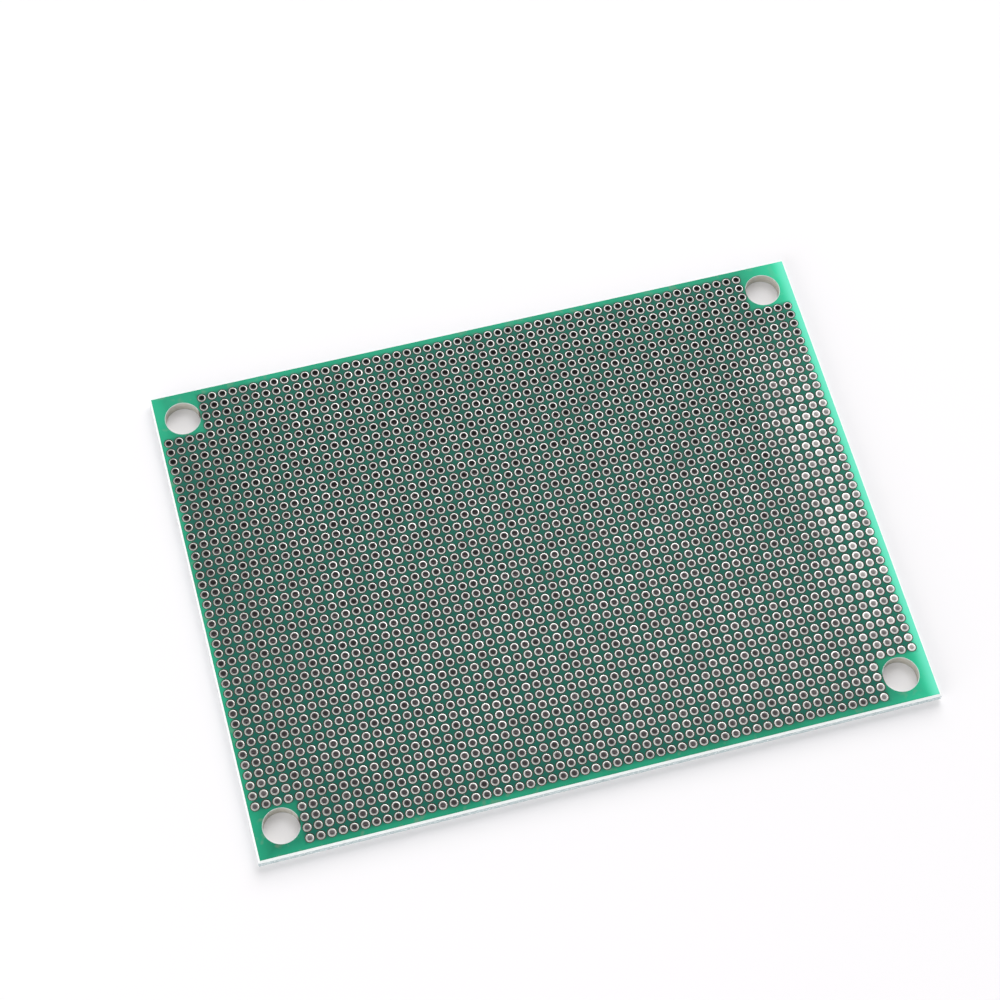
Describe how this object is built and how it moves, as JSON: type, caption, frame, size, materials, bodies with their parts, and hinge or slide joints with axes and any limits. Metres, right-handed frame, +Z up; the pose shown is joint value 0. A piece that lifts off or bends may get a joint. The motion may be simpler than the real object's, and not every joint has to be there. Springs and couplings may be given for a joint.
{
  "type": "prototype board",
  "caption": "Rectangular double-sided prototype board with a fine grid of tinned plated-through pads, snapped scored edges and plain corner fixing holes.",
  "frame": {"origin": "middle of the board's underside, on the crowns of the lower pads", "axes": "+X along the length, +Y across the width, +Z up through the thickness"},
  "size_m": [0.08, 0.06, 0.0016],
  "materials": {
    "coated_laminate": "green semi-gloss solder mask on glass-epoxy laminate, bare pale glass fibre at the snapped edges",
    "tinned_copper": "hot-air levelled tin, satin"
  },
  "bodies": {
    "root": {"panel_front_left": "coated_laminate", "panel_front_right": "coated_laminate", "panel_back_left": "coated_laminate", "panel_back_right": "coated_laminate", "pad_row_01": "tinned_copper", "pad_row_02": "tinned_copper", "pad_row_03": "tinned_copper", "pad_row_04": "tinned_copper", "pad_row_05": "tinned_copper", "pad_row_06": "tinned_copper", "pad_row_07": "tinned_copper", "pad_row_08": "tinned_copper", "pad_row_09": "tinned_copper", "pad_row_10": "tinned_copper", "pad_row_11": "tinned_copper", "pad_row_12": "tinned_copper", "pad_row_13": "tinned_copper", "pad_row_14": "tinned_copper", "pad_row_15": "tinned_copper", "pad_row_16": "tinned_copper", "pad_row_17": "tinned_copper", "pad_row_18": "tinned_copper", "pad_row_19": "tinned_copper", "pad_row_20": "tinned_copper", "pad_row_21": "tinned_copper", "pad_row_22": "tinned_copper", "pad_row_23": "tinned_copper", "pad_row_24": "tinned_copper", "pad_row_25": "tinned_copper", "pad_row_26": "tinned_copper", "pad_row_27": "tinned_copper", "pad_row_28": "tinned_copper", "pad_row_29": "tinned_copper", "pad_row_30": "tinned_copper", "pad_row_31": "tinned_copper", "pad_row_32": "tinned_copper", "pad_row_33": "tinned_copper", "pad_row_34": "tinned_copper", "pad_row_35": "tinned_copper", "pad_row_36": "tinned_copper", "pad_row_37": "tinned_copper", "pad_row_38": "tinned_copper", "pad_row_39": "tinned_copper", "pad_row_40": "tinned_copper", "pad_row_41": "tinned_copper", "pad_row_42": "tinned_copper", "pad_row_43": "tinned_copper", "pad_row_44": "tinned_copper", "pad_row_45": "tinned_copper", "pad_row_46": "tinned_copper"}
  },
  "joints": []
}
